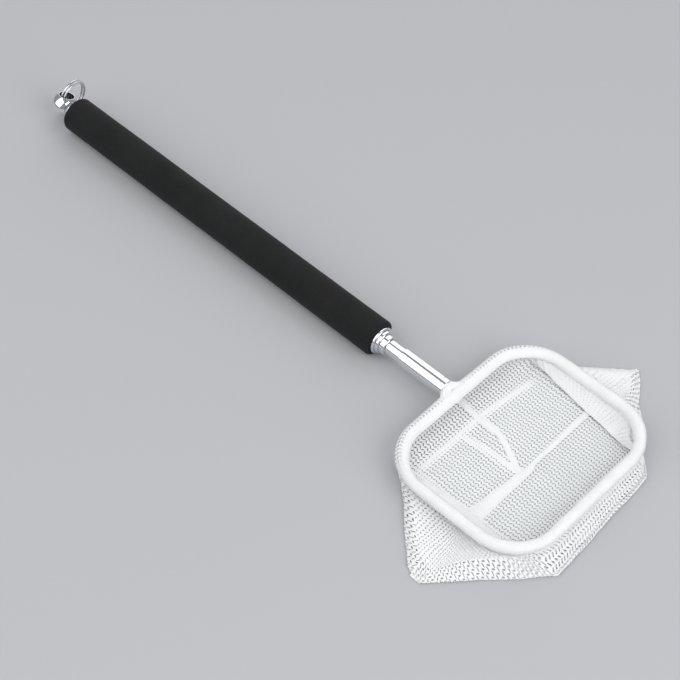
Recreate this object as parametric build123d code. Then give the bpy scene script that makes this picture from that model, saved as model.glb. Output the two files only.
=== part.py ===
from build123d import *
import math
import os

# Telescopic aquarium net: a foam-covered handle with nested chrome tubes, a wire hoop and a mesh bag.
# Millimetres. +X runs along the pole towards the net and +Z is up. The closed net lies on z = 0,
# as on a table, and the origin is under the middle of its length.

# Handle
grip_diameter = 16.0
grip_length = 184.5
grip_edge_radius = 0.8

# Nested tubes, from the handle to the net
outer_tube_diameter = 12.1
second_tube_diameter = 10.3
third_tube_diameter = 8.6
inner_tube_diameter = 6.8
tube_wall = 0.4
mouth_lip_length = 1.0
mouth_edge_radius = 0.5
outer_mouth_reach = 1.4
second_mouth_reach = 1.6
third_mouth_reach = 2.6
inner_tube_reach = 7.2

# Guide bush and spring clip at the tail of each sliding tube
bush_flange_length = 8.0
bush_spigot_length = 5.0
bush_bore_wall = 1.1
bush_gap = 1.0
clip_width = 3.0
clip_thickness = 0.45
clip_offset = 2.5
clip_slit = 1.2

# Tail end
plug_length = 8.0
plug_flange_thickness = 1.0
stud_diameter = 4.0
stud_length = 5.5
neck_diameter = 5.0
neck_length = 1.63
ball_diameter = 12.0
ball_foot_drop = 1.6
ball_hole_diameter = 6.8
ball_rim_width = 0.3
ball_edge_radius = 0.1
ball_hole_lean = 21.5

# Split ring in the ball's hole
ring_mean_radius = 6.75
ring_wire_diameter = 1.0
ring_turn_pitch = 1.5
ring_crossover_angle = 60.0
ring_swing = -6.0

# Ferrule that joins the hoop to the inner tube
ferrule_diameter = 8.0
ferrule_length = 23.1
ferrule_grip_length = 10.0
ferrule_edge_radius = 0.3
ferrule_bead_offset = 2.2
ferrule_bead_width = 0.6
ferrule_bead_depth = 0.15
tail_plug_length = 9.0
tail_plug_setback = 0.6

# Wire hoop and the hem around it
hoop_width = 87.0
hoop_length = 69.0
hoop_corner_radius = 19.7
wire_diameter = 2.6
tail_spacing = 3.2
tail_bend_radius = 3.4
tail_length = 8.0
hem_diameter = 5.0
hem_to_ferrule = 1.4
neck_cover = 0.6

# Mesh bag lying on the table: a sewn tube whose bottom seam spreads into two ears
mesh_thickness = 0.8
floor_front_reach = 43.1
floor_back_reach = 26.5
floor_half_width = 37.0
floor_corner_radius = 11.0
front_crease_half = 30.0
back_crease_half = 37.0
seam_offset = 6.3
seam_width = 5.0
ear_reach = 70.2
ear_tip_width = 6.0
ear_root_height = 4.2
ear_tip_height = 1.8
ear_bevel = 3.0
side_seam_width = 6.0
seam_thickness = 0.7

# Fits
slide_clearance = 0.06
clip_clearance = 0.03
press_gap = 0.02
soft_gap = 0.15
ring_hole_gap = 0.26
ring_foot_gap = 0.65

# Stations along the pole, measured from the rear face of the grip
outer_mouth = grip_length + outer_mouth_reach
second_mouth = outer_mouth + second_mouth_reach
third_mouth = second_mouth + third_mouth_reach
ferrule_rear = third_mouth + inner_tube_reach
ferrule_front = ferrule_rear + ferrule_length
hoop_back = ferrule_front + hem_to_ferrule + hem_diameter / 2
hoop_centre = hoop_back + hoop_length / 2
hoop_front = hoop_back + hoop_length
ball_radius = ball_diameter / 2
ball_centre = -plug_flange_thickness - neck_length - math.sqrt(ball_radius**2 - (neck_diameter / 2) ** 2)
floor_front = hoop_centre + floor_front_reach
floor_back = hoop_centre - floor_back_reach
seam_line = hoop_centre + seam_offset

axis_height = grip_diameter / 2
overall_rear = ball_centre - ball_radius
overall_front = floor_front
to_origin = Pos(-(overall_rear + overall_front) / 2, 0, 0)

hem_underside = axis_height - hem_diameter / 2
wall_top = hem_underside - soft_gap
hole_tilt = math.radians(ball_hole_lean)
swing = math.radians(ring_swing)
hole_half_chord = math.sqrt((ball_hole_diameter / 2) ** 2 - ((ring_turn_pitch + ring_wire_diameter) / 2) ** 2)
ring_centre_out = ring_mean_radius + ring_wire_diameter / 2 + ring_hole_gap - hole_half_chord
ring_centre_up = ring_mean_radius - ring_wire_diameter / 2 - ball_foot_drop - ring_foot_gap


def bore_of(tube_diameter):
    return tube_diameter - 2 * tube_wall


def turned(*corners):
    """Solid of revolution about the pole's axis, from (station, radius) corners."""
    half_section = make_face(Polyline(*corners, close=True))
    return Pos(0, 0, axis_height) * revolve(Plane.XZ * half_section, Axis.X)


def round_edges(solid, radius_of_edge, fillet_radius, keep):
    """Fillet the circular edges of one radius that lie at the kept places in order along X."""
    circles = solid.edges().filter_by(GeomType.CIRCLE)
    chosen = circles.filter_by(lambda edge: abs(edge.radius - radius_of_edge) < 1e-4).sort_by(Axis.X)
    return fillet([chosen[place] for place in keep], fillet_radius)


def at_hoop(height):
    return Plane(origin=(hoop_centre, 0, height))


def write(name, solid):
    export_step(to_origin * solid, os.path.join("parts", name + ".step"))


# Grip

def foam_grip():
    sleeve = turned(
        (0, outer_tube_diameter / 2 + press_gap),
        (0, grip_diameter / 2),
        (grip_length, grip_diameter / 2),
        (grip_length, outer_tube_diameter / 2 + press_gap),
    )
    return round_edges(sleeve, grip_diameter / 2, grip_edge_radius, (0, -1))


# Telescoping tubes

def rolled_tube(rear, mouth, diameter, next_diameter):
    """Tube whose mouth is rolled inwards to guide and stop the next tube."""
    outer = diameter / 2
    bore = bore_of(diameter) / 2
    lip = next_diameter / 2 + slide_clearance
    tube = turned(
        (rear, bore),
        (rear, outer),
        (mouth, outer),
        (mouth, lip),
        (mouth - mouth_lip_length, lip),
        (mouth - mouth_lip_length, bore),
    )
    return round_edges(tube, outer, mouth_edge_radius, (-1,))


def plain_tube(rear, front, diameter):
    return turned(
        (rear, bore_of(diameter) / 2),
        (rear, diameter / 2),
        (front, diameter / 2),
        (front, bore_of(diameter) / 2),
    )


def guide_bush(rear, tube_diameter, housing_diameter):
    """Brass bush: a flange that runs in the larger tube and a spigot pressed into its own tube."""
    flange = bore_of(housing_diameter) / 2 - slide_clearance
    groove = bore_of(housing_diameter) / 2 - clip_clearance - clip_thickness - press_gap
    spigot = bore_of(tube_diameter) / 2 - press_gap
    hollow = spigot - bush_bore_wall
    groove_start = rear + clip_offset - press_gap
    groove_end = rear + clip_offset + clip_width + press_gap
    shoulder = rear + bush_flange_length
    return turned(
        (rear, hollow),
        (rear, flange),
        (groove_start, flange),
        (groove_start, groove),
        (groove_end, groove),
        (groove_end, flange),
        (shoulder, flange),
        (shoulder, spigot),
        (shoulder + bush_spigot_length, spigot),
        (shoulder + bush_spigot_length, hollow),
    )


def spring_clip(rear, housing_diameter):
    """Slit spring ring in the bush's groove that rubs in the larger tube and holds the length set."""
    outside = bore_of(housing_diameter) / 2 - clip_clearance
    inside = outside - clip_thickness
    start = rear + clip_offset
    ring = turned((start, inside), (start, outside), (start + clip_width, outside), (start + clip_width, inside))
    slit = Pos(start + clip_width / 2, 0, axis_height + outside) * Box(2 * clip_width, clip_slit, outside)
    return ring - slit


# Tail end with its hanging ring

def end_plug():
    body = bore_of(outer_tube_diameter) / 2 - press_gap
    stud_hole = stud_diameter / 2 + press_gap
    return turned(
        (-plug_flange_thickness, stud_hole),
        (-plug_flange_thickness, outer_tube_diameter / 2),
        (-press_gap, outer_tube_diameter / 2),
        (-press_gap, body),
        (plug_length, body),
        (plug_length, stud_hole),
    )


def hole_plane(out=0.0, up=0.0):
    """Plane of the ring: its x runs out from the hole, its y runs up the hole."""
    out_dir = Vector(math.sin(swing), math.cos(swing) * math.cos(hole_tilt), -math.cos(swing) * math.sin(hole_tilt))
    up_dir = Vector(0, math.sin(hole_tilt), math.cos(hole_tilt))
    origin = Vector(ball_centre, 0, axis_height) + out_dir * out + up_dir * up
    return Plane(origin=origin, x_dir=out_dir, z_dir=out_dir.cross(up_dir))


def end_ball():
    """Ball with a wide cross hole, cut flat below so that the ring can turn about its wall, with a neck and a stud."""
    neck_end = -plug_flange_thickness
    hole = ball_hole_diameter / 2
    rim = hole + ball_rim_width
    top = math.sqrt(ball_radius**2 - rim**2)
    foot = math.sqrt(ball_radius**2 - ball_foot_drop**2)
    outline = [
        Line((hole, -ball_foot_drop), (hole, top)),
        Line((hole, top), (rim, top)),
        ThreePointArc((rim, top), (ball_radius, 0), (foot, -ball_foot_drop)),
        Line((foot, -ball_foot_drop), (hole, -ball_foot_drop)),
    ]
    section = make_face(outline)
    section = fillet(section.vertices(), min(ball_edge_radius, 0.4 * ball_rim_width))
    ball = revolve(hole_plane() * section, Axis(hole_plane().origin, hole_plane().y_dir))
    root = ball_centre + (hole + ball_radius) / 2
    neck = turned((root, 0), (root, neck_diameter / 2), (neck_end, neck_diameter / 2), (neck_end, 0))
    stud = turned((neck_end, 0), (neck_end, stud_diameter / 2), (stud_length, stud_diameter / 2), (stud_length, 0))
    return ball + neck + stud


def ring_point(angle, side):
    turn = math.radians(angle)
    return (ring_mean_radius * math.cos(turn), ring_mean_radius * math.sin(turn), side * ring_turn_pitch / 2)


def ring_heading(angle):
    turn = math.radians(angle)
    return Vector(-math.sin(turn), math.cos(turn), 0)


def biarc(start, heading, end, end_heading):
    """Two arcs that leave start along heading and reach end along end_heading."""
    chord = Vector(*end) - Vector(*start)
    headings = heading + end_heading
    a = headings.dot(headings) - 4
    b = -2 * chord.dot(headings)
    c = chord.dot(chord)
    reach = (-b - math.sqrt(b * b - 4 * a * c)) / (2 * a)
    if reach < 0:
        reach = (-b + math.sqrt(b * b - 4 * a * c)) / (2 * a)
    corner = Vector(*start) + heading * reach
    end_corner = Vector(*end) - end_heading * reach
    middle = (corner + end_corner) * 0.5
    first = TangentArc(start, middle, tangent=heading)
    second = TangentArc(middle, end, tangent=end_corner - corner)
    return [first, second]


def ring_path():
    """Two flat turns side by side, with one crossover below the ball's hole, open at both ends."""
    lowest = -90.0
    leave = lowest + ring_crossover_angle / 2
    arrive = lowest + 360 - ring_crossover_angle / 2
    half_way = (leave + arrive) / 2
    quarter = (leave + half_way) / 2
    last_quarter = (half_way + arrive) / 2
    path = []
    for side in (-1, 1):
        first = ThreePointArc(ring_point(leave, side), ring_point(quarter, side), ring_point(half_way, side))
        last = ThreePointArc(ring_point(half_way, side), ring_point(last_quarter, side), ring_point(arrive, side))
        path += [first, last]
        if side < 0:
            path += biarc(ring_point(arrive, -1), ring_heading(arrive), ring_point(leave, 1), ring_heading(leave))
    return Wire([edge for piece in path for edge in piece.edges()])


def split_ring():
    path = ring_path()
    section = Plane(origin=path.position_at(0), z_dir=path.tangent_at(0)) * Circle(ring_wire_diameter / 2)
    wound = sweep(section, path=path)
    samples = [path.position_at(step / 240) for step in range(241)]
    spread = 40
    nearest = min((samples[i] - samples[j]).length for i in range(241) for j in range(i + spread, 241))
    print("split ring: least gap between turns", round(nearest - ring_wire_diameter, 3), "mm")
    print("split ring: volume over section times length", round(wound.volume / (section.area * path.length), 4))
    return hole_plane(ring_centre_out, ring_centre_up) * wound


# Ferrule and hoop

def ferrule():
    bore = inner_tube_diameter / 2 + press_gap
    outer = ferrule_diameter / 2
    bead_end = ferrule_front - ferrule_bead_offset
    bead_start = bead_end - ferrule_bead_width
    sleeve = turned(
        (ferrule_rear, bore),
        (ferrule_rear, outer),
        (bead_start, outer),
        (bead_start, outer - ferrule_bead_depth),
        (bead_end, outer - ferrule_bead_depth),
        (bead_end, outer),
        (ferrule_front, outer),
        (ferrule_front, bore),
    )
    return round_edges(sleeve, outer, ferrule_edge_radius, (0, -1))


def tail_plug():
    """Filler in the ferrule with two holes that hold the hoop's tails."""
    front = ferrule_front - tail_plug_setback
    radius = inner_tube_diameter / 2
    plug = turned((front - tail_plug_length, 0), (front - tail_plug_length, radius), (front, radius), (front, 0))
    for side in (-1, 1):
        place = Pos(front, side * tail_spacing / 2, axis_height) * Rot(0, 90, 0)
        plug -= place * Cylinder(wire_diameter / 2 + press_gap, 2 * tail_length)
    return plug


def wire_path():
    tail_end = ferrule_front - tail_length + tail_plug_setback
    half = tail_spacing / 2
    side = hoop_width / 2
    corners = [
        (tail_end, half),
        (hoop_back, half),
        (hoop_back, side),
        (hoop_front, side),
        (hoop_front, -side),
        (hoop_back, -side),
        (hoop_back, -half),
        (tail_end, -half),
    ]
    radii = [tail_bend_radius] + 4 * [hoop_corner_radius] + [tail_bend_radius]
    return Pos(0, 0, axis_height) * FilletPolyline(*corners, radius=radii)


def along(path, diameter):
    section = Plane(origin=path @ 0, z_dir=path % 0) * Circle(diameter / 2)
    return sweep(section, path=path)


def hoop_wire():
    return along(wire_path(), wire_diameter)


def hem():
    """Mesh rolled round the wire, with a short gathered neck where the tails leave it."""
    start = tail_spacing / 2
    side = hoop_width / 2
    corners = [
        (hoop_back, start),
        (hoop_back, side),
        (hoop_front, side),
        (hoop_front, -side),
        (hoop_back, -side),
        (hoop_back, -start),
    ]
    roll = along(Pos(0, 0, axis_height) * FilletPolyline(*corners, radius=hoop_corner_radius), hem_diameter)
    neck_height = wire_diameter + 2 * neck_cover
    neck_width = tail_spacing + neck_height
    neck_section = Plane(origin=(ferrule_front + soft_gap, 0, axis_height), x_dir=(0, 1, 0), z_dir=(1, 0, 0))
    neck = extrude(neck_section * SlotOverall(neck_width, neck_height), hoop_back - ferrule_front - soft_gap)
    bridge_place = Pos(hoop_back, 0, axis_height) * Rot(90, 0, 0)
    bridge = bridge_place * Cylinder(hem_diameter / 2, tail_spacing)
    return roll + bridge + neck - along(wire_path(), wire_diameter + 2 * press_gap)


# Mesh bag

def bag_block(outward, floor_height):
    """Space between the bag's floor and the hem, grown outwards from the mesh's outer face."""
    floor_length = floor_front_reach + floor_back_reach
    floor_middle = (floor_front_reach - floor_back_reach) / 2
    low = at_hoop(floor_height) * Pos(floor_middle, 0) * RectangleRounded(
        floor_length + 2 * outward, 2 * floor_half_width + 2 * outward, floor_corner_radius + outward
    )
    high = at_hoop(wall_top) * RectangleRounded(
        hoop_length + 2 * outward, hoop_width + 2 * outward, hoop_corner_radius + outward
    )
    return loft([low, high], ruled=True)


def wall_sector(first, second):
    """Upright wedge from the middle of the floor through two corner directions."""
    far = 4 * ear_reach
    middle = (hoop_centre + seam_offset, 0)
    corners = [middle]
    for along_x, along_y in (first, second):
        corners.append((middle[0] + far * along_x, middle[1] + far * along_y))
    return extrude(make_face(Polyline(*corners, close=True)), axis_height)


def bag_walls():
    walls = bag_block(0, mesh_thickness) - bag_block(-mesh_thickness, mesh_thickness)
    sectors = {
        "bag_wall_front": ((1, -1), (1, 1)),
        "bag_wall_left": ((1, 1), (-1, 1)),
        "bag_wall_back": ((-1, 1), (-1, -1)),
        "bag_wall_right": ((-1, -1), (1, -1)),
    }
    return {name: walls & wall_sector(*directions) for name, directions in sectors.items()}


def floor_outline():
    tip = ear_tip_width / 2
    return Polyline(
        (floor_front, -front_crease_half),
        (floor_front, front_crease_half),
        (seam_line + tip, ear_reach),
        (seam_line - tip, ear_reach),
        (floor_back, back_crease_half),
        (floor_back, -back_crease_half),
        (seam_line - tip, -ear_reach),
        (seam_line + tip, -ear_reach),
        close=True,
    )


def bag_floor():
    return extrude(make_face(floor_outline()), mesh_thickness)


def bag_ear(side):
    """Puffed corner where the floor's fold sticks out beyond the hoop."""
    root = floor_half_width + soft_gap
    low = mesh_thickness + press_gap
    tip = ear_tip_width / 2
    run = ear_reach - front_crease_half
    root_front = floor_front - (floor_front - seam_line - tip) * (root - front_crease_half) / run
    back_run = ear_reach - back_crease_half
    root_back = floor_back + (seam_line - tip - floor_back) * (root - back_crease_half) / back_run
    base = Polyline(
        (root_front, side * root, low),
        (seam_line + tip, side * ear_reach, low),
        (seam_line - tip, side * ear_reach, low),
        (root_back, side * root, low),
        close=True,
    )
    crown_tip = ear_reach - ear_bevel
    crown = Polyline(
        (root_front - ear_bevel, side * root, ear_root_height),
        (seam_line + tip - ear_bevel / 2, side * crown_tip, ear_tip_height),
        (seam_line - tip + ear_bevel / 2, side * crown_tip, ear_tip_height),
        (root_back + ear_bevel, side * root, ear_root_height),
        close=True,
    )
    puff = loft([make_face(base), make_face(crown)], ruled=True)
    return puff - bag_block(soft_gap, mesh_thickness)


def bottom_seam():
    """Sewn edge of the bag, turned inside and lying across the floor."""
    length = 2 * (floor_half_width - mesh_thickness - soft_gap)
    place = Pos(seam_line, 0, mesh_thickness + press_gap + seam_thickness / 2)
    return place * Box(seam_width, length, seam_thickness)


def side_seam():
    """Sewn edge that runs from the pole down the back wall and along the floor to the bottom seam."""
    low = mesh_thickness + press_gap
    start = seam_line - seam_width / 2 - soft_gap
    crease = floor_back + mesh_thickness + soft_gap
    top_x = hoop_back + mesh_thickness + soft_gap
    rise = wall_top - mesh_thickness
    slope = math.atan2(rise, crease - top_x)
    length = (rise - seam_thickness * math.cos(slope)) / math.sin(slope)
    end = (crease - length * math.cos(slope), low + length * math.sin(slope))
    lift = (seam_thickness * math.sin(slope), seam_thickness * math.cos(slope))
    strip = Polyline(
        (start, low),
        (crease, low),
        end,
        (end[0] + lift[0], end[1] + lift[1]),
        (crease + seam_thickness * math.tan(slope / 2), low + seam_thickness),
        (start, low + seam_thickness),
        close=True,
    )
    return extrude(Plane.XZ * make_face(strip), side_seam_width / 2, both=True)


# Assembly

stages = [
    ("tube_2", second_tube_diameter, outer_tube_diameter, second_mouth, third_tube_diameter),
    ("tube_3", third_tube_diameter, second_tube_diameter, third_mouth, inner_tube_diameter),
    ("tube_4", inner_tube_diameter, third_tube_diameter, ferrule_rear + ferrule_grip_length, None),
]

os.makedirs("parts", exist_ok=True)

write("foam_grip", foam_grip())
write("outer_tube", rolled_tube(0, outer_mouth, outer_tube_diameter, second_tube_diameter))
write("end_plug", end_plug())
write("end_ball", end_ball())
write("split_ring", split_ring())

bush_rear = plug_length + bush_gap
housing_stop = outer_mouth - mouth_lip_length
for name, diameter, housing_diameter, front, next_diameter in stages:
    shoulder = bush_rear + bush_flange_length
    print(name, "travel", round(housing_stop - shoulder, 2), "mm")
    if next_diameter:
        write(name, rolled_tube(shoulder, front, diameter, next_diameter))
    else:
        write(name, plain_tube(shoulder, front, diameter))
    write(name + "_bush", guide_bush(bush_rear, diameter, housing_diameter))
    write(name + "_clip", spring_clip(bush_rear, housing_diameter))
    bush_rear = shoulder + bush_spigot_length + bush_gap
    housing_stop = front - mouth_lip_length

write("ferrule", ferrule())
write("tail_plug", tail_plug())
write("hoop_wire", hoop_wire())
write("hem", hem())
for name, wall in bag_walls().items():
    write(name, wall)
write("bag_floor", bag_floor())
write("bag_ear_left", bag_ear(1))
write("bag_ear_right", bag_ear(-1))
write("bottom_seam", bottom_seam())
write("side_seam", side_seam())

print("origin station", round((overall_rear + overall_front) / 2, 3), "mm from the grip's rear face")
print("ball centre", round(ball_centre, 3), "hoop centre", round(hoop_centre, 3))
print("ring centre", round(ring_centre_out, 3), "mm out from the hole's axis and", round(ring_centre_up, 3), "mm up it")
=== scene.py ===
import math

import bpy
import numpy as np
from mathutils import Matrix, Vector, noise


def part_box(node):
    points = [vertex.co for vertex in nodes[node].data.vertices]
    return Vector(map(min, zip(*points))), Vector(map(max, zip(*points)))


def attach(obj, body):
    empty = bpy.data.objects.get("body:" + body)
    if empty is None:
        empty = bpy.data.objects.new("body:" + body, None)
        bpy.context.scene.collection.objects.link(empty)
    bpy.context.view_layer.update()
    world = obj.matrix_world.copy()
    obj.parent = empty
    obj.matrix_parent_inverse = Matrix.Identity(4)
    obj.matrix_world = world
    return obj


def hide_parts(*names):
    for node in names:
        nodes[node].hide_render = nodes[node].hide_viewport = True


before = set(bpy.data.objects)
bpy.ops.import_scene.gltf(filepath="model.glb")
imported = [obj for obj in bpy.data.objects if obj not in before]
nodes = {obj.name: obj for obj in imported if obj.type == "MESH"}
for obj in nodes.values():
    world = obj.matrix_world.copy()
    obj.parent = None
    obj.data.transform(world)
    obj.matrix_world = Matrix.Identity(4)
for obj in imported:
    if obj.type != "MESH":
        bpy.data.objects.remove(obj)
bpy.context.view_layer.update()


# Foam grip
# A black sleeve of closed-cell foam, cut from long tube and pushed over the handle tube.
# Its ground skin is dull and slightly uneven, with fine cells that show in grazing light.
def finish(name):
    """A new material, its node tree and its Principled shader."""
    material = bpy.data.materials.new(name)
    material.use_nodes = True
    tree = material.node_tree
    return material, tree, tree.nodes["Principled BSDF"]


def place(tree, kind, inputs=None, **settings):
    """A new node with its settings and the values of its inputs."""
    node = tree.nodes.new(kind)
    for name, value in settings.items():
        setattr(node, name, value)
    for name, value in (inputs or {}).items():
        node.inputs[name].default_value = value
    return node


def shade(tree, *stops):
    """A colour ramp between two stops, each a position and a colour."""
    ramp = place(tree, "ShaderNodeValToRGB")
    for element, (position, colour) in zip(ramp.color_ramp.elements, stops):
        element.position = position
        element.color = (*colour, 1)
    return ramp


foam, tree, shader = finish("black_foam")
where = place(tree, "ShaderNodeTexCoord")
cells = place(tree, "ShaderNodeTexVoronoi", {"Scale": 2600.0})
cloud = place(tree, "ShaderNodeTexNoise", {"Scale": 55.0, "Detail": 5.0, "Roughness": 0.65})
skin = place(tree, "ShaderNodeTexNoise", {"Scale": 1400.0, "Detail": 3.0})
tone = shade(tree, (0.3, (0.008, 0.008, 0.0084)), (0.75, (0.0155, 0.0155, 0.016)))
dull = place(
    tree,
    "ShaderNodeMapRange",
    {"From Min": 0.25, "From Max": 0.75, "To Min": 0.72, "To Max": 0.9},
)
height = place(tree, "ShaderNodeMath", operation="MULTIPLY")
bump = place(tree, "ShaderNodeBump", {"Strength": 0.35, "Distance": 0.00012})
for texture in (cells, cloud, skin):
    tree.links.new(where.outputs["Object"], texture.inputs["Vector"])
tree.links.new(cloud.outputs["Fac"], tone.inputs["Fac"])
tree.links.new(tone.outputs["Color"], shader.inputs["Base Color"])
tree.links.new(skin.outputs["Fac"], dull.inputs["Value"])
tree.links.new(dull.outputs["Result"], shader.inputs["Roughness"])
tree.links.new(cells.outputs["Distance"], height.inputs[0])
tree.links.new(skin.outputs["Fac"], height.inputs[1])
tree.links.new(height.outputs["Value"], bump.inputs["Height"])
tree.links.new(bump.outputs["Normal"], shader.inputs["Normal"])
shader.inputs["Specular IOR Level"].default_value = 0.22
shader.inputs["Sheen Weight"].default_value = 0.03
shader.inputs["Sheen Roughness"].default_value = 0.5


def grid(name, along, across):
    """A new flat square, one unit wide, with so many steps along X and across it."""
    bpy.ops.object.select_all(action="DESELECT")
    bpy.ops.mesh.primitive_grid_add(x_subdivisions=along, y_subdivisions=across, size=1)
    piece = bpy.context.object
    piece.name = name
    return piece


def shaped(piece, place_of):
    """Moves each point of a piece to where place_of puts it."""
    flat = np.zeros(len(piece.data.vertices) * 3)
    piece.data.vertices.foreach_get("co", flat)
    spots = [place_of(*point) for point in flat.reshape(-1, 3).tolist()]
    piece.data.vertices.foreach_set("co", np.array(spots).ravel())
    piece.data.update()


grip_rear, grip_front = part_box("foam_grip")[0].x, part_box("foam_grip")[1].x
grip_length = grip_front - grip_rear
grip_radius = 0.008
grip_bore = 0.00607
grip_edge = 0.0011
grip_skin = 0.0068
grip_rings = 120
grip_facets = 96
grip_section = [(0, grip_bore), (0.0002, 0.0066), (0, 0.0071)]
for step in reversed(range(7)):
    turn = math.radians(15 * step)
    cut_back = grip_edge * (1 - math.sin(turn))
    grip_section.append((cut_back, grip_radius - grip_edge + grip_edge * math.cos(turn)))
grip_line = grip_section + [
    (grip_length * (0.008 + 0.984 * ring / grip_rings), grip_radius)
    for ring in range(grip_rings + 1)
]
grip_line += [(grip_length - along, radius) for along, radius in reversed(grip_section)]
grip_line += [(grip_length / 2, grip_bore), grip_section[0]]
grip_sleeve = grid("grip_sleeve", len(grip_line) - 1, grip_facets)


def on_grip(x, y, z):
    """A place on the sleeve: x follows its section, y goes round it, and its skin is uneven."""
    along, radius = grip_line[round((x + 0.5) * (len(grip_line) - 1))]
    turn = 2 * math.pi * y
    spot = Vector((grip_rear + along, radius * math.cos(turn), radius * math.sin(turn)))
    if radius > grip_skin:
        coarse, fine = noise.noise(spot * 60), noise.noise(spot * 220)
        spot.yz = spot.yz * (0.991 + 0.006 * coarse + 0.003 * fine)
    return spot + Vector((0, 0, grip_radius))


shaped(grip_sleeve, on_grip)
bpy.ops.object.mode_set(mode="EDIT")
bpy.ops.mesh.select_all(action="SELECT")
bpy.ops.mesh.remove_doubles(threshold=0.00001)
bpy.ops.mesh.flip_normals()
bpy.ops.object.mode_set(mode="OBJECT")
bpy.ops.object.shade_smooth_by_angle(angle=math.radians(40))
grip_sleeve.data.materials.append(foam)
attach(grip_sleeve, "handle")
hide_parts("foam_grip")


# Handle tube, sliding tubes and ferrule
# Thin steel tubes, drawn, plated with bright chrome and rolled in at the mouth, one in the next.
# The plating keeps faint lines from the drawing and a few smears from handling.
marks = bpy.data.node_groups.new("polish_marks", "ShaderNodeTree")
for name, kind in (
    ("Vector", "NodeSocketVector"),
    ("Smears", "NodeSocketVector"),
    ("Least", "NodeSocketFloat"),
    ("Most", "NodeSocketFloat"),
):
    marks.interface.new_socket(name=name, in_out="INPUT", socket_type=kind)
for name in ("Roughness", "Height"):
    marks.interface.new_socket(name=name, in_out="OUTPUT", socket_type="NodeSocketFloat")
given = place(marks, "NodeGroupInput")
result = place(marks, "NodeGroupOutput")
lines = place(marks, "ShaderNodeTexNoise", {"Scale": 1.0, "Detail": 4.0, "Roughness": 0.7})
smears = place(marks, "ShaderNodeTexNoise", {"Scale": 1.0, "Detail": 3.0})
clear = place(marks, "ShaderNodeMapRange", {"From Min": 0.45, "From Max": 0.8})
both = place(marks, "ShaderNodeMath", {1: 0.35}, operation="MULTIPLY_ADD")
spread = place(marks, "ShaderNodeMapRange", {"From Min": 0.1, "From Max": 0.7})
marks.links.new(given.outputs["Vector"], lines.inputs["Vector"])
marks.links.new(given.outputs["Smears"], smears.inputs["Vector"])
marks.links.new(smears.outputs["Fac"], clear.inputs["Value"])
marks.links.new(lines.outputs["Fac"], both.inputs[0])
marks.links.new(clear.outputs["Result"], both.inputs[2])
marks.links.new(both.outputs["Value"], spread.inputs["Value"])
marks.links.new(given.outputs["Least"], spread.inputs["To Min"])
marks.links.new(given.outputs["Most"], spread.inputs["To Max"])
marks.links.new(spread.outputs["Result"], result.inputs["Roughness"])
marks.links.new(lines.outputs["Fac"], result.inputs["Height"])


def polished(name, colour, grain, smear, least, most, depth):
    """A bright metal with polishing lines and smears. grain and smear count them per metre along
    X, Y and Z, least and most bound the roughness, and depth is how deep the lines go."""
    metal, tree, shader = finish(name)
    where = place(tree, "ShaderNodeTexCoord")
    stretch = place(tree, "ShaderNodeMapping", {"Scale": grain})
    blot = place(tree, "ShaderNodeMapping", {"Scale": smear})
    polish = place(tree, "ShaderNodeGroup", node_tree=marks)
    polish.inputs["Least"].default_value = least
    polish.inputs["Most"].default_value = most
    bump = place(tree, "ShaderNodeBump", {"Strength": 0.2, "Distance": depth})
    tree.links.new(where.outputs["Object"], stretch.inputs["Vector"])
    tree.links.new(where.outputs["Object"], blot.inputs["Vector"])
    tree.links.new(stretch.outputs["Vector"], polish.inputs["Vector"])
    tree.links.new(blot.outputs["Vector"], polish.inputs["Smears"])
    tree.links.new(polish.outputs["Roughness"], shader.inputs["Roughness"])
    tree.links.new(polish.outputs["Height"], bump.inputs["Height"])
    tree.links.new(bump.outputs["Normal"], shader.inputs["Normal"])
    shader.inputs["Base Color"].default_value = (*colour, 1)
    shader.inputs["Metallic"].default_value = 1.0
    return metal


def dress(material, *names):
    """Gives CAD nodes a finish in their own material slots."""
    for name in names:
        slots = nodes[name].data.materials
        slots.clear()
        slots.append(material)


chrome_colour = (0.80, 0.81, 0.83)
tube_chrome = polished(
    "tube_chrome",
    chrome_colour,
    grain=(25, 2200, 2200),
    smear=(120, 220, 220),
    least=0.05,
    most=0.16,
    depth=0.00001,
)
dress(tube_chrome, "outer_tube", "tube_2", "tube_3", "tube_4", "ferrule")


# Guide bushes, spring clips and plugs inside the tubes
# Turned brass bushes and slit bands of spring steel at each tube's tail, which the mouths hide.
# The filler in the ferrule, which holds the hoop's tails, is turned brass too.
turned_brass = polished(
    "turned_brass",
    (0.78, 0.57, 0.25),
    grain=(3000, 60, 60),
    smear=(150, 150, 150),
    least=0.18,
    most=0.36,
    depth=0.00001,
)
dress(turned_brass, "tube_2_bush", "tube_3_bush", "tube_4_bush", "tail_plug")
spring_steel = polished(
    "spring_steel",
    (0.55, 0.56, 0.58),
    grain=(60, 1800, 1800),
    smear=(150, 150, 150),
    least=0.22,
    most=0.4,
    depth=0.00001,
)
dress(spring_steel, "tube_2_clip", "tube_3_clip", "tube_4_clip")


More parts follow.
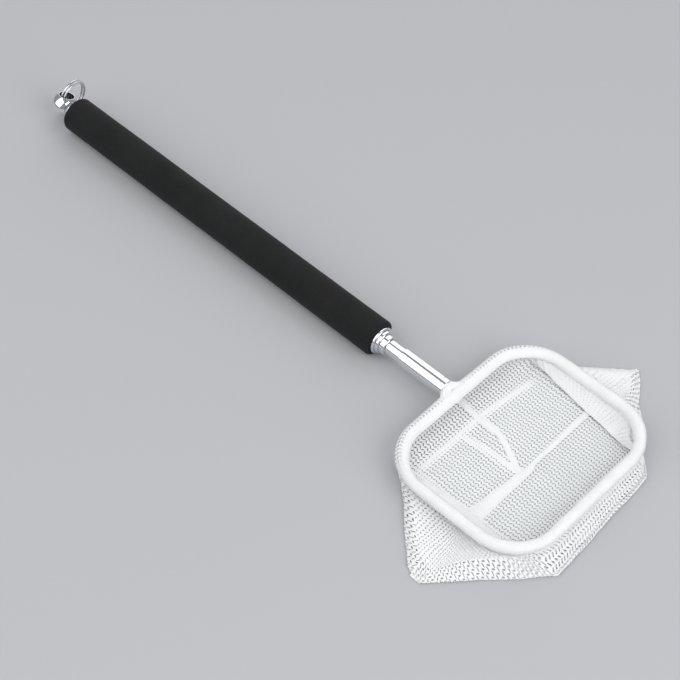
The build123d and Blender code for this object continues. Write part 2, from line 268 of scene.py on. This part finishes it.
# End ball and hanging ring
# A turned ball, plated like the tubes and screwed into the plug in the handle's tail.
# The wall of its cross hole has painted shade: its colour is darkened to grey there.
# The ring in the hole is two turns of bright spring wire.
ball_chrome = polished(
    "ball_chrome",
    chrome_colour,
    grain=(500, 500, 500),
    smear=(160, 160, 160),
    least=0.04,
    most=0.13,
    depth=0.000008,
)
ball_centre = (-0.151992, 0, 0.008)
hole_lean = math.radians(21.5)
hole_wall, hole_rim = 0.00343, 0.00349
tree = ball_chrome.node_tree
where = place(tree, "ShaderNodeTexCoord")
# Painted shade in the cross hole: within the hole's radius the chrome's colour is mixed to dark
# grey.
hole = place(
    tree,
    "ShaderNodeMapping",
    {"Location": ball_centre, "Rotation": (-hole_lean, 0, 0)},
    vector_type="TEXTURE",
)
flat = place(tree, "ShaderNodeVectorMath", {1: (1, 1, 0)}, operation="MULTIPLY")
reach = place(tree, "ShaderNodeVectorMath", operation="LENGTH")
hole_shade_mask = place(tree, "ShaderNodeMapRange", {"From Min": hole_wall, "From Max": hole_rim})
painted_hole_shade = place(
    tree,
    "ShaderNodeMix",
    {"A": (0.3, 0.3, 0.31, 1), "B": (*chrome_colour, 1)},
    data_type="RGBA",
)
tree.links.new(where.outputs["Object"], hole.inputs["Vector"])
tree.links.new(hole.outputs["Vector"], flat.inputs[0])
tree.links.new(flat.outputs["Vector"], reach.inputs[0])
tree.links.new(reach.outputs["Value"], hole_shade_mask.inputs["Value"])
tree.links.new(hole_shade_mask.outputs["Result"], painted_hole_shade.inputs[0])
tree.links.new(painted_hole_shade.outputs[2], tree.nodes["Principled BSDF"].inputs["Base Color"])
dress(ball_chrome, "end_ball", "end_plug")
ring_wire = polished(
    "ring_wire",
    (0.70, 0.71, 0.73),
    grain=(900, 900, 900),
    smear=(260, 260, 260),
    least=0.1,
    most=0.24,
    depth=0.000008,
)
dress(ring_wire, "split_ring")


# Hoop wire
# Bright drawn steel wire, bent to a rectangle with round corners, its two tails in the ferrule.
# The mesh covers it all round.
hoop_wire = polished(
    "hoop_wire",
    (0.58, 0.59, 0.61),
    grain=(900, 900, 900),
    smear=(120, 120, 120),
    least=0.2,
    most=0.38,
    depth=0.00001,
)
dress(hoop_wire, "hoop_wire")
wire_radius = 0.0013
hoop_half_length = 0.0345
hoop_half_width = 0.0435
hoop_corner = 0.0197
hoop_height = 0.008
hoop_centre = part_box("hoop_wire")[1].x - wire_radius - hoop_half_length
front_run = hoop_half_width - hoop_corner
corner_run = hoop_corner * math.pi / 2
side_run = 2 * (hoop_half_length - hoop_corner)
half_round = 2 * front_run + 2 * corner_run + side_run


def hoop_at(along):
    """The place on the wire's line and the way out of the hoop there, at a length along it from
    the front's middle."""
    side = math.copysign(1.0, along)
    left = min(abs(along), half_round)
    if left <= front_run:
        out = (1.0, 0.0)
        x, y = hoop_half_length, left
    elif left <= front_run + corner_run:
        turn = (left - front_run) / hoop_corner
        out = (math.cos(turn), math.sin(turn))
        x = hoop_half_length - hoop_corner + hoop_corner * out[0]
        y = front_run + hoop_corner * out[1]
    elif left <= front_run + corner_run + side_run:
        out = (0.0, 1.0)
        x = hoop_half_length - hoop_corner - (left - front_run - corner_run)
        y = hoop_half_width
    elif left <= half_round - front_run:
        turn = math.pi / 2 + (left - front_run - corner_run - side_run) / hoop_corner
        out = (math.cos(turn), math.sin(turn))
        x = hoop_corner - hoop_half_length + hoop_corner * out[0]
        y = front_run + hoop_corner * out[1]
    else:
        out = (-1.0, 0.0)
        x, y = -hoop_half_length, half_round - left
    return Vector((hoop_centre + x, side * y, hoop_height)), Vector((out[0], side * out[1], 0.0))


# Hem
# The top of the mesh is rolled round the wire two or three times and sewn down, like a white cord.
# Its outer turn shows the knitted holes faintly, and slanting stitches close it underneath.
hem_radius = 0.0025
yarn_radius = 0.0001
mesh_stitches = 162
hem_courses = 12
hem_turn = 12.2
hem_start = 0.242
hem_thread_stitches = 278


def chosen(piece):
    """Selects one piece alone and makes it the active one."""
    bpy.ops.object.select_all(action="DESELECT")
    piece.select_set(True)
    bpy.context.view_layer.objects.active = piece


def knitted(name, cells, rows, place_of, joined=False, open_at=None):
    """A piece of warp-knitted net: threads that zigzag down it, tied to their neighbours at every
    turn, round slanting holes. place_of takes the stitches across, the courses down and the height
    in the thread, and gives the places in metres. A joined piece closes on itself across, as a
    tube. open_at gives how far each hole stands open, as a share."""
    lean, beside, above, rounded = 0.33, 0.275, 0.13, 0.06
    thread_height, tie_height, border_height = 1.0, 0.7, 0.35

    # Threads and ties, above and below
    wide = 2 * cells if joined else 2 * cells + 1
    p, q = np.meshgrid(np.arange(wide), np.arange(2 * rows + 1), indexing="ij")
    used = (p % 2 == 0) | (q % 2 == 0)
    inner = (q > 0) & (q < 2 * rows) & (joined | ((p > 0) & (p < 2 * cells)))
    across = p / 2 + lean * np.cos(np.pi * q / 2)
    height = np.where(inner, np.where(p % 2 == 0, thread_height, tie_height), border_height)
    top = np.full(p.shape, -1)
    top[used] = np.arange(used.sum())
    under = top + used.sum()
    spots = [
        (across[used], q[used] / 2, height[used]),
        (across[used], q[used] / 2, -height[used]),
    ]

    # Rims of the holes
    i, j = np.meshgrid(np.arange(cells), np.arange(rows), indexing="ij")
    ring = ((0, 0), (1, 0), (2, 0), (2, 1), (2, 2), (1, 2), (0, 2), (0, 1))
    rim = []
    size = 1.0 if open_at is None else open_at(i + 0.5, j + 0.5)
    for k, (a, b) in enumerate(ring):
        pull = rounded if a != 1 and b != 1 else 0.0
        s = 0.5 + (a - 1) * (0.5 - beside - pull) * size
        t = 0.5 + (b - 1) * (0.5 - above - pull) * size
        slant = lean * np.cos(np.pi * j) * (1 - 2 * t)
        spots.append(((i + s + slant).ravel(), (j + t).ravel(), np.zeros(i.size)))
        rim.append(2 * used.sum() + k * i.size + i * rows + j)

    # Walls along the borders, and faces from the threads to the rims
    borders = [(top[:, row], under[:, row]) for row in (0, -1)]
    if not joined:
        borders += [(top[column], under[column]) for column in (0, -1)]
    faces = []
    for n, (upper, lower) in enumerate(borders):
        here, there = np.arange(len(upper)), np.roll(np.arange(len(upper)), -1)
        if not joined:
            here, there = here[:-1], there[:-1]
        loop = [upper[here], upper[there], lower[there], lower[here]]
        faces.append(np.stack(loop if n in (1, 2) else loop[::-1], -1))
    for k, (a, b) in enumerate(ring):
        following = (k + 1) % len(ring)
        c, d = ring[following]
        for side in (top, under):
            loop = [
                side[(2 * i + a) % wide, 2 * j + b],
                side[(2 * i + c) % wide, 2 * j + d],
                rim[following],
                rim[k],
            ]
            faces.append(np.stack(loop if side is top else loop[::-1], -1).reshape(-1, 4))

    places = place_of(*(np.concatenate(part) for part in zip(*spots)))
    net = bpy.data.meshes.new(name)
    net.from_pydata(places.tolist(), [], np.concatenate(faces).tolist())
    piece = bpy.data.objects.new(name, net)
    bpy.context.scene.collection.objects.link(piece)
    chosen(piece)
    bpy.ops.object.mode_set(mode="EDIT")
    bpy.ops.mesh.select_all(action="SELECT")
    bpy.ops.mesh.normals_make_consistent(inside=False)
    bpy.ops.object.mode_set(mode="OBJECT")
    bpy.ops.object.shade_smooth_by_angle(angle=math.radians(60))
    return piece


def thread(name, points, radius, closed=False):
    """A sewing thread through the points, as a thin round mesh."""
    line = bpy.data.curves.new(name, "CURVE")
    line.dimensions = "3D"
    line.bevel_depth = radius
    line.bevel_resolution = 1
    line.resolution_u = 3
    stitches = line.splines.new("BEZIER")
    stitches.bezier_points.add(len(points) - 1)
    for knot, point in zip(stitches.bezier_points, points):
        knot.co = point
        knot.handle_left_type = knot.handle_right_type = "AUTO"
    stitches.use_cyclic_u = closed
    line.use_fill_caps = True
    piece = bpy.data.objects.new(name, line)
    bpy.context.scene.collection.objects.link(piece)
    chosen(piece)
    bpy.ops.object.convert(target="MESH")
    bpy.ops.object.shade_smooth()
    return bpy.context.object


yarn, tree, shader = finish("white_yarn")
where = place(tree, "ShaderNodeTexCoord")
fibre = place(tree, "ShaderNodeTexNoise", {"Scale": 5200.0, "Detail": 3.0, "Roughness": 0.6})
patch = place(tree, "ShaderNodeTexNoise", {"Scale": 160.0, "Detail": 4.0})
white = shade(tree, (0.3, (0.89, 0.895, 0.90)), (0.7, (0.93, 0.93, 0.925)))
soft = place(
    tree,
    "ShaderNodeMapRange",
    {"From Min": 0.3, "From Max": 0.7, "To Min": 0.42, "To Max": 0.62},
)
bump = place(tree, "ShaderNodeBump", {"Strength": 0.3, "Distance": 0.00005})
tree.links.new(where.outputs["Object"], fibre.inputs["Vector"])
tree.links.new(where.outputs["Object"], patch.inputs["Vector"])
tree.links.new(patch.outputs["Fac"], white.inputs["Fac"])
tree.links.new(white.outputs["Color"], shader.inputs["Base Color"])
tree.links.new(fibre.outputs["Fac"], soft.inputs["Value"])
tree.links.new(soft.outputs["Result"], shader.inputs["Roughness"])
tree.links.new(fibre.outputs["Fac"], bump.inputs["Height"])
tree.links.new(bump.outputs["Normal"], shader.inputs["Normal"])
shader.inputs["Sheen Weight"].default_value = 0.15
shader.inputs["Sheen Roughness"].default_value = 0.4


def ease(value):
    """A smooth step from 0 to 1."""
    value = min(max(value, 0.0), 1.0)
    return value * value * (3 - 2 * value)


def round_the_wire(along, turn, radius, inward=0.0, wider=0.0, flare=0.0):
    """A place on the rolled hem, at a length along it from the back's middle and an angle round the
    wire. Along the back, where the hem is loose, its section is shifted inward, made wider and
    flared out to the pole."""
    point, out = hoop_at(along - half_round)
    past_back = min(along, 2 * half_round - along) - front_run
    back = 1 - ease((past_back - 0.3 * corner_run) / (0.6 * corner_run))
    swell = 1 + 0.1 * (1 - 0.8 * back) * noise.noise(point * 140)
    reach = (radius * swell + wider * back) * math.cos(turn) - inward * back
    reach += flare * back * math.exp(-((point.y / 0.011) ** 2)) * max(0.0, math.cos(turn)) ** 2
    return point + reach * out + Vector((0, 0, radius * swell * math.sin(turn)))


def on_hem(across, down, height):
    """Where the stitches of the hem's outer turn lie, along it and round it from its underside."""
    spots = []
    for a, d, h in zip(across.tolist(), down.tolist(), height.tolist()):
        along = a % mesh_stitches / mesh_stitches * 2 * half_round
        turn = (d / hem_turn - hem_start) * 2 * math.pi
        radius = hem_radius - yarn_radius + yarn_radius * h
        spots.append(
            round_the_wire(along, turn, radius, inward=0.0004, wider=0.0004, flare=0.0005)
        )
    return np.array(spots)


def hem_holes(across, down):
    """How far the holes of the hem stand open: they are drawn shut beside the pole."""
    from_pole = np.minimum(across, mesh_stitches - across)
    return 1 - 0.85 * np.exp(-((from_pole / 6) ** 2))


def on_roll(x, y, z):
    """A place on the turns inside: x goes along the hem and y round the wire."""
    along, turn = (x + 0.5) * 2 * half_round, y * 2 * math.pi
    return round_the_wire(along, turn, hem_radius - 0.00014, inward=0.0009)


def hem_stitch(i):
    """A place on the sewing thread, which slants to and fro on the hem's underside."""
    along = (i + 0.5) * 2 * half_round / hem_thread_stitches
    turn = math.radians(-135 if i % 2 else -85)
    return round_the_wire(along, turn, hem_radius + yarn_radius)


hem_net = knitted("hem_net", mesh_stitches, hem_courses, on_hem, joined=True, open_at=hem_holes)
hem_roll = grid("hem_roll", along=280, across=16)
shaped(hem_roll, on_roll)
bpy.ops.object.mode_set(mode="EDIT")
bpy.ops.mesh.select_all(action="SELECT")
bpy.ops.mesh.remove_doubles(threshold=0.00005)
bpy.ops.mesh.normals_make_consistent(inside=False)
bpy.ops.object.mode_set(mode="OBJECT")
bpy.ops.object.shade_smooth()
hem_line = [hem_stitch(i) for i in range(hem_thread_stitches)]
hem_thread = thread("hem_thread", hem_line, radius=0.00016, closed=True)


# Gathered neck of the hem
# At the pole the mesh is drawn together round the wire's two tails and tucked into the ferrule.
# The gathers run lengthwise and open out into the hem.
neck_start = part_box("ferrule")[1].x
neck_end = hoop_centre - hoop_half_length - 0.001
neck_tuck = 0.0004
neck_radius = 0.0033
neck_wall = 0.0003
gather_depth = 0.00012
bpy.ops.object.select_all(action="DESELECT")
bpy.ops.mesh.primitive_cylinder_add(vertices=72, radius=1, depth=1, end_fill_type="NOTHING")
hem_neck = bpy.context.object
hem_neck.name = "hem_neck"
bpy.ops.object.mode_set(mode="EDIT")
bpy.ops.mesh.select_all(action="SELECT")
bpy.ops.mesh.subdivide(number_cuts=5)
bpy.ops.mesh.remove_doubles(threshold=0.0001)
bpy.ops.object.mode_set(mode="OBJECT")


def gathered(x, y, z):
    """A place on the neck, from the tube it was made as: z is along the pole, and the gathers fan
    out to the hem."""
    along = z + 0.5
    turn = math.atan2(y, x)
    fold = math.cos(13 * turn + 2 * math.sin(3 * turn))
    wide = neck_radius + 0.0058 * along**1.4 + gather_depth * fold
    high = neck_radius - 0.0009 * along + gather_depth * fold
    return (
        neck_start - neck_tuck + (neck_end - neck_start + neck_tuck) * along,
        wide * math.cos(turn),
        hoop_height + high * math.sin(turn),
    )


def thickened(piece, thickness):
    """Gives a sheet its thickness, half on each side."""
    wall = piece.modifiers.new("thickness", "SOLIDIFY")
    wall.thickness = thickness
    wall.offset = 0
    chosen(piece)
    bpy.ops.object.modifier_apply(modifier=wall.name)
    bpy.ops.object.shade_smooth_by_angle(angle=math.radians(50))


shaped(hem_neck, gathered)
bpy.ops.object.mode_set(mode="EDIT")
bpy.ops.mesh.select_all(action="SELECT")
bpy.ops.mesh.normals_make_consistent(inside=False)
bpy.ops.object.mode_set(mode="OBJECT")
thickened(hem_neck, neck_wall)
hem_pieces = [hem_net, hem_roll, hem_thread, hem_neck]
for piece in hem_pieces:
    piece.data.materials.append(yarn)
    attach(piece, "net_head")
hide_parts("hem")


# Bag
# One piece of white knitted mesh, joined to a tube and sewn straight across the bottom. It lies
# collapsed: a floor, low walls and an ear at each end of the bottom seam, puffed up at its folds.
# The sizes of the bag and of its seam bands are in millimetres.
cloth_half = 70.0
cloth_depth = 47.0
bag_courses = 38
bag_lines = 280
bag_steps = 120
left_tip = Vector((7.4, 68.8, 0.8))
right_tip = Vector((7.2, 69.7, 0.8))
seam_x = 5.7
knot_steps = 10
foot_knot, ridge_knot, fold_knot = 2, 5, 9


def bag_column(u):
    """The points that one column of the mesh passes, from the hem to its outer fold and on to the
    bottom seam, at u mm from the front's middle, and how far it is bunched into a side wall. They
    are in mm from the middle of the hoop."""
    side = math.copysign(1.0, u)
    left = side > 0
    front = abs(u) <= cloth_half
    a = abs(u) if front else 2 * cloth_half - abs(u)
    crease = 40.0 if not front else 27.6 if left else 32.0
    opened = max(0.0, (a - crease) / (cloth_half - crease))
    low = 27 * (1 - opened) ** 1.15
    up = Vector((0, 0, 1))
    if front:
        edge = Vector((43.2 - 0.053 * side * min(a, crease), min(a, crease), 0.8))
        straight, slanting = Vector((-1, 0, 0)), Vector((-0.746, -0.666, 0))
        far = Vector((10.9, 70.7, 0.8))
        foot_x = 4.5 + low
    else:
        drawn_back = (1.7 if left else 2.5) * ease((a - 30) / 10)
        edge = Vector((-24.3 - drawn_back, min(a, crease), 0.5 + 0.3 * ease(opened / 0.2)))
        straight, slanting = Vector((1, 0, 0)), Vector((0.653, -0.757, 0))
        far = Vector((3.2, 69.0, 0.8))
        foot_x = 4.5 - low
    foot = Vector((foot_x, 36.65 - 0.16 * foot_x if left else 34.4, 1.3))
    if left:
        edge = edge.lerp(left_tip, opened)
        if front:
            wave = 0.8 + 0.8 * math.cos(13.66 * (opened - 0.22))
            edge += wave * math.sin(math.pi * opened) * slanting
    else:
        edge = edge.lerp(far, min(opened / 0.92, 1))
        edge = edge.lerp(right_tip, max(0, (opened - 0.92) / 0.08))
    rim = hoop_at(u * half_round / (2 * cloth_half))[0]
    rim = Vector(((rim.x - hoop_centre) * 1000, abs(rim.y) * 1000, 5.6))
    inward = straight.lerp(slanting, ease(opened / 0.3))
    inward = inward.lerp(Vector((0, -1, 0)), ease((opened - 0.55) / 0.45)).normalized()
    if front:
        ridge = (rim + Vector((0.5, 0, 0))).lerp(edge + 6.3 * inward, ease(opened / 0.35))
        ridge.z = 5.2 - 2.6 * ease((opened - 0.4) / 0.6)
        bunched = ease(opened / 0.2) if left else ease((opened - 0.06) / 0.4)
        foot = rim.lerp(foot, bunched)
        lip = 1 - ease(opened / 0.15)
        path = [
            rim,
            rim.lerp(foot, 0.5) + bunched * Vector((0, -0.8, -0.4)),
            foot,
            foot.lerp(ridge, 0.5) + 0.3 * bunched * up,
            ridge.lerp(foot, 0.1),
            ridge,
            ridge.lerp(edge, 0.45) + 0.45 * up,
            ridge.lerp(edge, 0.75).lerp(edge + Vector((-1.7, 0, -0.45)), lip),
            ridge.lerp(edge, 0.92).lerp(edge + Vector((-0.8, 0, 0.65)), lip),
            edge,
        ]
    else:
        ridge = edge + (4.0 + 2.3 * ease((opened - 0.55) / 0.45)) * inward
        ridge.z = 3.3 - 0.7 * ease((opened - 0.4) / 0.6)
        bunched = ease(opened / 0.35)
        wall = [rim + Vector((-2.6, 0, -1.6)), rim + Vector((-2.4, 0, -3.2))]
        slope = ((0.4, 1.7), (0.7, 1.0), (0.82, 0.8), (0.9, 0.68), (0.95, 0.6), (0.98, 0.54))
        for share, z in slope:
            wall.append(Vector(((1 - share) * rim.x + share * edge.x, a, z)))
        ear = [
            rim.lerp(foot, 0.5) + Vector((0, -0.8, -0.4)),
            foot,
            foot.lerp(ridge, 0.5) + 0.3 * up,
            ridge.lerp(foot, 0.1),
            ridge,
            ridge.lerp(edge, 0.45) + 0.45 * up,
            ridge.lerp(edge, 0.75) + 0.1 * up,
            ridge.lerp(edge, 0.92),
        ]
        path = [rim] + [w.lerp(e, bunched) for w, e in zip(wall, ear)] + [edge]
    for share, z in ((0.95, 0.35), (0.6, 0.3), (0.25, 0.3), (0, 0.5)):
        path.append(Vector((seam_x, edge.y, z)).lerp(Vector((edge.x, edge.y, z)), share))
    return [Vector((p.x, side * p.y, p.z)) for p in path], bunched


def along_column(points, steps):
    """Places down a smooth line through the points: the floor keeps its true length, and the slack
    is taken up above its outer fold. With them goes how far down the foot, ridge and fold are."""
    ends = [2 * points[0] - points[1]] + points + [2 * points[-1] - points[-2]]
    line = []
    for p, q, r, s in zip(ends, ends[1:], ends[2:], ends[3:]):
        for t in np.linspace(0, 1, knot_steps, endpoint=False):
            spot = (2 * q) + (r - p) * t
            spot += (2 * p - 5 * q + 4 * r - s) * t**2
            spot += (3 * q - p - 3 * r + s) * t**3
            line.append(0.5 * spot)
    line = np.array(line + [points[-1]])
    lengths = np.linalg.norm(np.diff(line, axis=0), axis=1)
    reached = np.concatenate(([0], np.cumsum(lengths)))
    fold = reached[fold_knot * knot_steps]
    fold_down = cloth_depth - (reached[-1] - fold)
    foot_down = reached[foot_knot * knot_steps] / fold * fold_down
    ridge_down = reached[ridge_knot * knot_steps] / fold * fold_down
    levels = np.linspace(0, cloth_depth, steps + 1)
    want = np.interp(levels, [0, fold_down, cloth_depth], [0, fold, reached[-1]])
    spots = np.stack([np.interp(want, reached, line[:, k]) for k in range(3)], 1)
    return spots, foot_down, ridge_down, fold_down


bag_rounds = np.linspace(-2 * cloth_half, 2 * cloth_half, bag_lines + 1)
bag_columns = [bag_column(u) for u in bag_rounds.tolist()]
bag_bunched = np.array([bunched for points, bunched in bag_columns])
bag_laid = [along_column(points, bag_steps) for points, bunched in bag_columns]
bag_form, bag_foot, bag_ridge, bag_fold = (np.array(part) for part in zip(*bag_laid))

# Slack in the mesh, as slow and quick waves that die out at the hem and the bottom seam
noise.seed_set(5)
for line in bag_form:
    for step, spot in enumerate(line):
        wave = noise.noise_vector(Vector(spot) * 0.06) * 0.6
        wave += noise.noise_vector(Vector(spot) * 0.2) * 0.2
        slack = math.sin(math.pi * step / bag_steps)
        spot += slack * np.array((wave.x, wave.y, 0.6 * wave.z))
bag_form[:, :, 2] = np.maximum(bag_form[:, :, 2], 0.3)
bag_inside = np.cross(np.gradient(bag_form, axis=0), np.gradient(bag_form, axis=1))
bag_inside /= np.linalg.norm(bag_inside, axis=2, keepdims=True) + 1e-9


def on_bag(u, v, lift):
    """Where points of the flat mesh lie on the collapsed bag, in metres: u and v in mm round the
    hoop and down from it, lift in mm inwards."""
    i = (u + 2 * cloth_half) % (4 * cloth_half) / (4 * cloth_half) * bag_lines
    j = np.clip(v / cloth_depth, 0, 1) * bag_steps
    i0, j0 = np.minimum(i.astype(int), bag_lines - 1), np.minimum(j.astype(int), bag_steps - 1)
    s, t = (i - i0)[:, None], (j - j0)[:, None]
    spot, inside = (
        (1 - s) * ((1 - t) * form[i0, j0] + t * form[i0, j0 + 1])
        + s * ((1 - t) * form[i0 + 1, j0] + t * form[i0 + 1, j0 + 1])
        for form in (bag_form, bag_inside)
    )
    return (spot + lift[:, None] * inside) / 1000 + (hoop_centre, 0, 0)


def pleats_at(u, v):
    """How far the mesh is raised in a pleat, along the floor's back fold and beside the side seam,
    and how far its holes are drawn shut, there and where it bunches up in the side walls and over
    the ears."""
    spot = on_bag(u, v, np.zeros(u.size))
    x, y = (spot[:, 0] - hoop_centre) * 1000, spot[:, 1] * 1000
    back = np.abs(u) > cloth_half
    bunched, foot_v, ridge_v, fold_v = (
        np.interp(u, bag_rounds, part) for part in (bag_bunched, bag_foot, bag_ridge, bag_fold)
    )
    off_fold = x + 23.2 - 3.4 * np.maximum(0, (y - 5) / 30)
    fold = 0.95 * np.exp(-((off_fold / 1.5) ** 2)) * np.clip((36 - np.abs(y)) / 6, 0, 1)
    off_seam = y + 7.3 - 0.083 * (x + 15)
    side = 0.85 * np.exp(-((off_seam / 1.6) ** 2)) * np.clip((x + 24) / 3, 0, 1)
    wall = 0.6 * bunched * np.clip((foot_v - v) / 1.5 + 0.5, 0, 1)
    ear_end = np.where(u > cloth_half, fold_v, ridge_v)
    ear = np.where(u > 0, 0.8, 0.5) * bunched * np.clip((v - foot_v) / (ridge_v - foot_v), 0, 1)
    ear = ear * np.clip((ear_end - v) / 1.2 + 0.5, 0, 1)
    foot = 0.6 * np.clip((-31.5 - y) / 2, 0, 1) * np.clip(v - fold_v, 0, 1)
    pleat = np.maximum(fold, side) * back * (v > 12)
    return pleat, np.maximum.reduce([wall, ear, foot, pleat])


def round_of(across):
    """How far round the bag a stitch lies, in mm from the front's middle: they are closer together
    at one ear than at the other."""
    stitch_marks = (-1, 39.34, 70.12, 109.46, 142.33, 163)
    round_marks = (-141.73, -72, -34, 34, 106, 141.73)
    return np.interp(across, stitch_marks, round_marks)


def on_cloth(across, down, height):
    """Where the stitches of the bag lie, round the hoop and down from it, pulled a little unevenly
    and raised at the pleats."""
    u = round_of(across) + 0.25 * np.sin(0.4 * down + across * math.pi * 8 / mesh_stitches)
    v = down / bag_courses * cloth_depth
    return on_bag(u, v, 0.12 * height + 0.3 * pleats_at(u, v)[0])


def holes_at(across, down):
    """How far the holes of the bag stand open: widest in the groove behind the front lip and round
    its corner, and drawn shut where the mesh is bunched."""
    u, v = round_of(across.ravel()), down.ravel() / bag_courses * cloth_depth
    ridge_v, fold_v = np.interp(u, bag_rounds, bag_ridge), np.interp(u, bag_rounds, bag_fold)
    groove = np.exp(-(((v - fold_v + 1.6) / 0.7) ** 2)) * (np.abs(u) < 31)
    corner = np.exp(-(((u + 39) / 7) ** 2)) * np.clip(v - ridge_v + 1, 0, 1) * (v < fold_v)
    stretched = 1 + 0.25 * np.maximum(groove, corner)
    return ((1 - 0.82 * pleats_at(u, v)[1]) * stretched).reshape(across.shape)


bag_net = knitted("bag_net", mesh_stitches, bag_courses, on_cloth, joined=True, open_at=holes_at)
bag_net.data.materials.append(yarn)
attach(bag_net, "net_head")
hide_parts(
    "bag_wall_front",
    "bag_wall_left",
    "bag_wall_back",
    "bag_wall_right",
    "bag_floor",
    "bag_ear_left",
    "bag_ear_right",
)


# Bottom seam and side seam
# Where the mesh was sewn up, its doubled edges lie flat as narrow bands, bound with thread.
# The side seam comes down from the pole and bends over to meet the bottom seam.
seam_height = 0.22
bottom_seam_length = 128.0
side_seam_length = cloth_depth - 0.3
seam_thread_radius = 0.00011


def band(name, place_of, length, cells, rows):
    """A band of doubled mesh, low at its edges, laid where place_of puts a length along it, a share
    across it and a height in mm."""
    def crown(along, share):
        fold = 0.3 * noise.noise((along * 0.3, share * 3, 4))
        fold += 0.25 * noise.noise((along * 1.1, share * 6, 7))
        return seam_height * (1 + fold) * (1 - (2 * share) ** 2)

    def stitches(across, down, height):
        along, share = across / cells * length, down / rows - 0.5
        spots = zip(along.tolist(), share.tolist(), height.tolist())
        return np.array([place_of(a, s, crown(a, s) + 0.06 + 0.07 * h) for a, s, h in spots])

    def lining(x, y, z):
        along = (x + 0.5) * length
        return place_of(along, y, crown(along, y))

    net = knitted(name, cells, rows, stitches)
    piece = grid(name + "_under", along=max(int(length / 0.6), 2), across=8)
    shaped(piece, lining)
    thickened(piece, thickness=0.00012)
    net.select_set(True)
    bpy.context.view_layer.objects.active = net
    bpy.ops.object.join()
    return net


def bottom_seam_at(along, across, lift):
    """A place on the bottom seam, which lies along the floor from ear to ear, doubled wider on the
    pole's right."""
    y = along - bottom_seam_length / 2
    right, left = min(max((y + 34) / 32, 0), 1), min(max((y - 2) / 34, 0), 1)
    turn = ease((y + 3) / 6)
    upper = (2.0 + 3.2 * right) * (1 - turn) + (5.2 - 0.7 * left) * turn
    lower = (9.0 - 0.6 * right) * (1 - turn) + (7.0 + 0.2 * left) * turn
    width = (lower - upper) * (1 - 0.5 * ease((abs(y) - 40) / 24))
    x = (upper + lower) / 2 + 0.3 * noise.noise((y * 0.05, 0, 2))
    x += width * (across + 0.03 * noise.noise((y * 0.5, across * 2, 5)))
    return (hoop_centre + x / 1000, y / 1000, (0.55 + lift) / 1000)


def side_seam_at(along, across, lift):
    """A place on the side seam, which follows the back wall and the floor and bends over to the
    right."""
    y = 3.0 - 10.0 * ease((along - 26) / 26)
    u = 2 * cloth_half - y + 3.0 * across
    return on_bag(np.array([u]), np.array([along]), np.array([0.2 + lift]))[0]


def seam_thread(name, place_of, pitch, count, lift):
    """The overlocked thread of a seam, to and fro between the band's edges."""
    points = [place_of(0.5 + pitch * i, 0.42 if i % 2 else -0.42, lift) for i in range(count)]
    return thread(name, points, seam_thread_radius)


bottom_seam = band("bottom_seam_band", bottom_seam_at, bottom_seam_length, cells=74, rows=3)
side_seam = band("side_seam_band", side_seam_at, side_seam_length, cells=28, rows=2)
bottom_thread = seam_thread("bottom_seam_thread", bottom_seam_at, pitch=0.8, count=159, lift=0.3)
side_thread = seam_thread("side_seam_thread", side_seam_at, pitch=0.7, count=66, lift=0.25)
seam_pieces = [bottom_seam, bottom_thread, side_seam, side_thread]
for piece in seam_pieces:
    piece.data.materials.append(yarn)
    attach(piece, "net_head")
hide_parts("bottom_seam")
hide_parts("side_seam")


# Floor, lamps and camera
# A pale table top under three large soft lamps, in a pale room.
# The camera stands where the photograph was taken from, with its framing.
bpy.ops.object.select_all(action="DESELECT")
bpy.ops.mesh.primitive_plane_add(size=30)
floor = bpy.context.object
floor.name = "floor"
paper, tree, shader = finish("pale_paper")
shader.inputs["Base Color"].default_value = (0.5, 0.505, 0.515, 1)
shader.inputs["Roughness"].default_value = 0.9
floor.data.materials.append(paper)

world = bpy.data.worlds.new("studio")
world.use_nodes = True
world.node_tree.nodes["Background"].inputs["Color"].default_value = (0.9, 0.95, 1.0, 1)
world.node_tree.nodes["Background"].inputs["Strength"].default_value = 0.32
bpy.context.scene.world = world
lamp_aim = Vector((0.05, 0, 0))
for name, stand, wide, long, power in (
    ("key", (-0.3, -0.72, 0.76), 1.2, 1.35, 7.4),
    ("fill", (0.85, 0.0, 0.57), 0.85, 0.95, 6.0),
    ("back", (-0.45, 0.8, 0.66), 1.1, 1.3, 4.8),
):
    bpy.ops.object.light_add(type="AREA", location=stand)
    lamp = bpy.context.object
    lamp.name = name
    lamp.data.shape = "RECTANGLE"
    lamp.data.size, lamp.data.size_y = wide, long
    lamp.data.energy = power
    lamp.rotation_euler = (lamp_aim - Vector(stand)).to_track_quat("-Z", "Y").to_euler()

azimuth, elevation, roll = (math.radians(angle) for angle in (39.717, 50.005, 4.576))
aim = Vector((0.025426, -0.006641, 0))
distance = 0.68669
sensor_width = 36
focal_pixels, frame_pixels = 1678.02, 680
away = Vector((
    math.sin(azimuth) * math.cos(elevation),
    -math.cos(azimuth) * math.cos(elevation),
    math.sin(elevation),
))
turned = Matrix.Rotation(azimuth, 3, "Z") @ Matrix.Rotation(math.pi / 2 - elevation, 3, "X")
turned = turned @ Matrix.Rotation(roll, 3, "Z")
bpy.ops.object.camera_add(location=aim + distance * away, rotation=turned.to_euler())
camera = bpy.context.object
camera.data.sensor_width = sensor_width
camera.data.lens = focal_pixels / frame_pixels * sensor_width
camera.data.clip_start = 0.01
bpy.context.scene.camera = camera
bpy.context.scene.view_settings.view_transform = "Standard"
